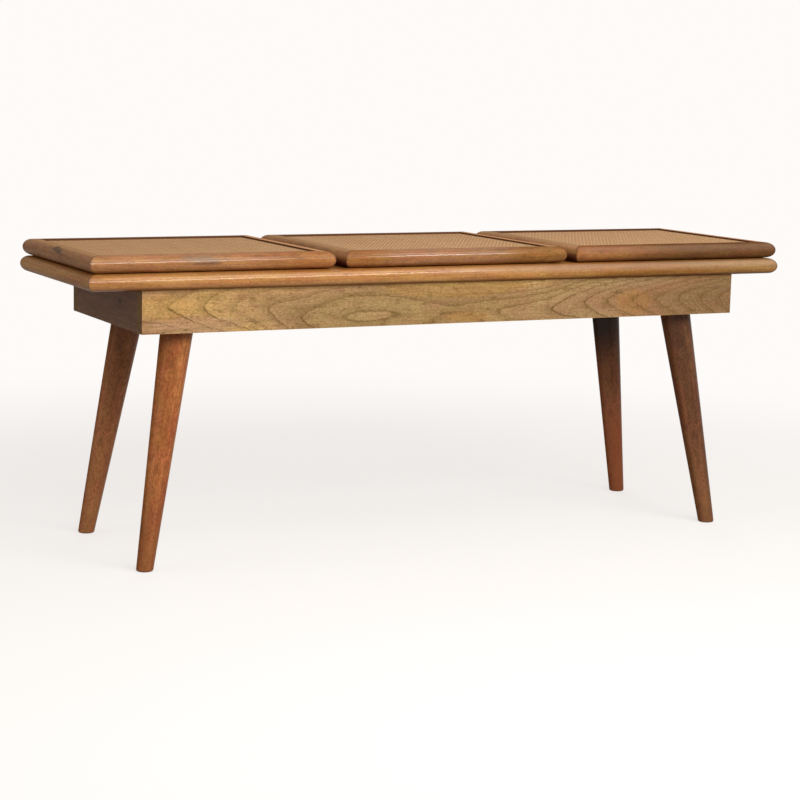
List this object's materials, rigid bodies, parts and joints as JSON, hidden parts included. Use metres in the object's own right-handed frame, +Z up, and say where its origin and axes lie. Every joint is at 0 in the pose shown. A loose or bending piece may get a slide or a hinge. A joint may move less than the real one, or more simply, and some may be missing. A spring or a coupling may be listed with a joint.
{
  "type": "storage bench",
  "caption": "Long low wooden bench with a bull-nosed base frame, splayed tapered round legs and a row of rear-hinged lids with woven panels over a shallow box.",
  "frame": {"origin": "on the floor under the middle of the bench", "axes": "+X along the bench to its right end, +Y to its rear, where the hinges are, +Z up"},
  "size_m": [1.14, 0.33, 0.45],
  "materials": {
    "frame_wood": "satin honey lacquer",
    "apron_wood": "satin lacquer",
    "leg_wood": "satin chestnut stain",
    "woven_rattan": "matte woven rattan",
    "plywood": "bare plywood",
    "beech_dowel": "bare beech",
    "hinge_brass": "brushed brass",
    "zinc_steel": "zinc plated",
    "felt_pad": "pressed felt"
  },
  "bodies": {
    "bench": {"apron_dowels": "beech_dowel", "apron_front_board": "apron_wood", "apron_left_end": "apron_wood", "apron_rear_board": "apron_wood", "apron_right_end": "apron_wood", "base_corner_dowels": "beech_dowel", "base_frame_screws": "zinc_steel", "base_front_rail": "frame_wood", "base_left_cross_rail": "frame_wood", "base_left_end_board": "frame_wood", "base_left_rail": "frame_wood", "base_rear_rail": "frame_wood", "base_right_cross_rail": "frame_wood", "base_right_end_board": "frame_wood", "base_right_rail": "frame_wood", "box_floor": "plywood", "front_left_leg": "leg_wood", "front_right_leg": "leg_wood", "hinge_base_leaves": "hinge_brass", "hinge_base_screws": "hinge_brass", "hinge_pins": "hinge_brass", "left_divider": "apron_wood", "left_leg_bearer": "apron_wood", "leg_hanger_bolts": "zinc_steel", "leg_tee_nuts": "zinc_steel", "rear_left_leg": "leg_wood", "rear_right_leg": "leg_wood", "right_divider": "apron_wood", "right_leg_bearer": "apron_wood"},
    "left_lid": {"left_lid_corner_dowels": "beech_dowel", "left_lid_front_rail": "frame_wood", "left_lid_hinge_leaves": "hinge_brass", "left_lid_hinge_screws": "hinge_brass", "left_lid_left_stile": "frame_wood", "left_lid_panel_board": "plywood", "left_lid_rear_rail": "frame_wood", "left_lid_rest_pads": "felt_pad", "left_lid_right_stile": "frame_wood", "left_lid_woven_panel": "woven_rattan"},
    "middle_lid": {"middle_lid_corner_dowels": "beech_dowel", "middle_lid_front_rail": "frame_wood", "middle_lid_hinge_leaves": "hinge_brass", "middle_lid_hinge_screws": "hinge_brass", "middle_lid_left_stile": "frame_wood", "middle_lid_panel_board": "plywood", "middle_lid_rear_rail": "frame_wood", "middle_lid_rest_pads": "felt_pad", "middle_lid_right_stile": "frame_wood", "middle_lid_woven_panel": "woven_rattan"},
    "right_lid": {"right_lid_corner_dowels": "beech_dowel", "right_lid_front_rail": "frame_wood", "right_lid_hinge_leaves": "hinge_brass", "right_lid_hinge_screws": "hinge_brass", "right_lid_left_stile": "frame_wood", "right_lid_panel_board": "plywood", "right_lid_rear_rail": "frame_wood", "right_lid_rest_pads": "felt_pad", "right_lid_right_stile": "frame_wood", "right_lid_woven_panel": "woven_rattan"}
  },
  "joints": [
    {"name": "left_lid_hinge", "type": "hinge", "parent": "bench", "child": "left_lid", "pos_m": [-0.38333, 0.1613, 0.4255], "axis": [-1, 0, 0], "range_deg": [0, 155]},
    {"name": "middle_lid_hinge", "type": "hinge", "parent": "bench", "child": "middle_lid", "pos_m": [0, 0.1613, 0.4255], "axis": [-1, 0, 0], "range_deg": [0, 155]},
    {"name": "right_lid_hinge", "type": "hinge", "parent": "bench", "child": "right_lid", "pos_m": [0.38333, 0.1613, 0.4255], "axis": [-1, 0, 0], "range_deg": [0, 155]}
  ]
}
